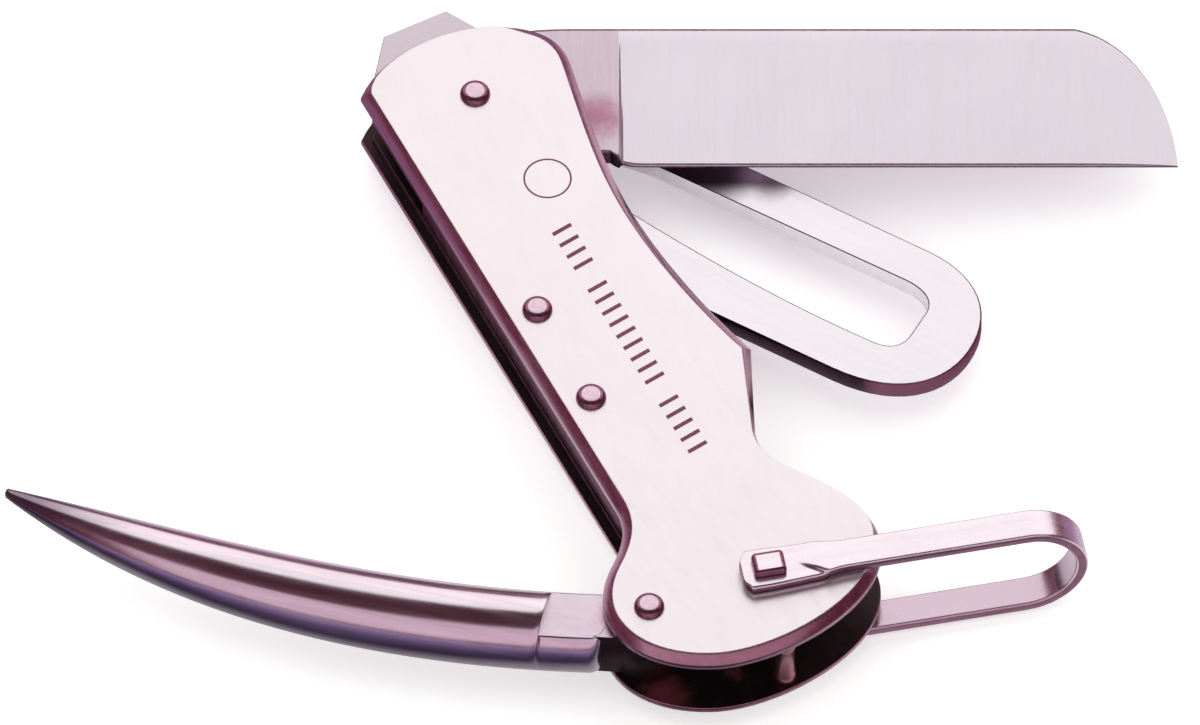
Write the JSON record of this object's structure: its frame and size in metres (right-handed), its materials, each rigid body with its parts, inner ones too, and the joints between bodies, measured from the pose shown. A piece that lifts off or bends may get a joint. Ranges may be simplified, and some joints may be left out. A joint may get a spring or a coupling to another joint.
{
  "type": "rigging knife",
  "caption": "Folding rigging knife with a sheepsfoot blade, slotted shackle key, bent marlinspike, screwdriver tip and swinging bail in a riveted steel handle.",
  "frame": {"origin": "middle of the bounding box's bottom face; the bottom is the outer face of the rear bail rivet", "axes": "+Y along the handle towards its blade end, +X towards the side the blade opens on, +Z out of the front scale"},
  "size_m": [0.1684, 0.1182, 0.0192],
  "materials": {
    "scale": "satin polished stainless",
    "liner": "plain stainless sheet",
    "spring": "dark satin stainless",
    "blade": "brushed across its length",
    "key": "satin stainless",
    "spike": "bright turned and polished",
    "bail": "polished strip",
    "rivet": "polished domed heads"
  },
  "bodies": {
    "handle": {"front_scale": "scale", "rear_scale": "scale", "front_liner": "liner", "centre_liner": "liner", "rear_liner": "liner", "blade_spring": "spring", "key_spring": "spring", "main_pivot_rivet": "rivet", "spring_rivet_upper": "rivet", "spring_rivet_lower": "rivet", "spike_pivot_rivet": "rivet", "spike_washer_front": "liner", "spike_washer_rear": "liner", "foot_spacer": "rivet", "bail_rivet_front": "rivet", "bail_rivet_rear": "rivet"},
    "blade": {"blade": "blade"},
    "key": {"shackle_key": "key"},
    "spike": {"marlinspike": "spike"},
    "bail": {"bail": "bail"}
  },
  "joints": [
    {"name": "blade_hinge", "type": "hinge", "parent": "handle", "child": "blade", "pos_m": [0.00047, 0.04363, 0.01165], "axis": [0, 0, 1], "range_deg": [-59, 117]},
    {"name": "key_hinge", "type": "hinge", "parent": "handle", "child": "key", "pos_m": [0.00047, 0.04363, 0.00765], "axis": [0, 0, 1], "range_deg": [-25.3, 146.7]},
    {"name": "spike_hinge", "type": "hinge", "parent": "handle", "child": "spike", "pos_m": [-0.01693, -0.04247, 0.0096], "axis": [0, 0, 1], "range_deg": [-50.5, 128]},
    {"name": "bail_hinge", "type": "hinge", "parent": "handle", "child": "bail", "pos_m": [-0.00013, -0.04497, 0.0096], "axis": [0, 0, 1], "range_deg": [-79, 39]}
  ]
}
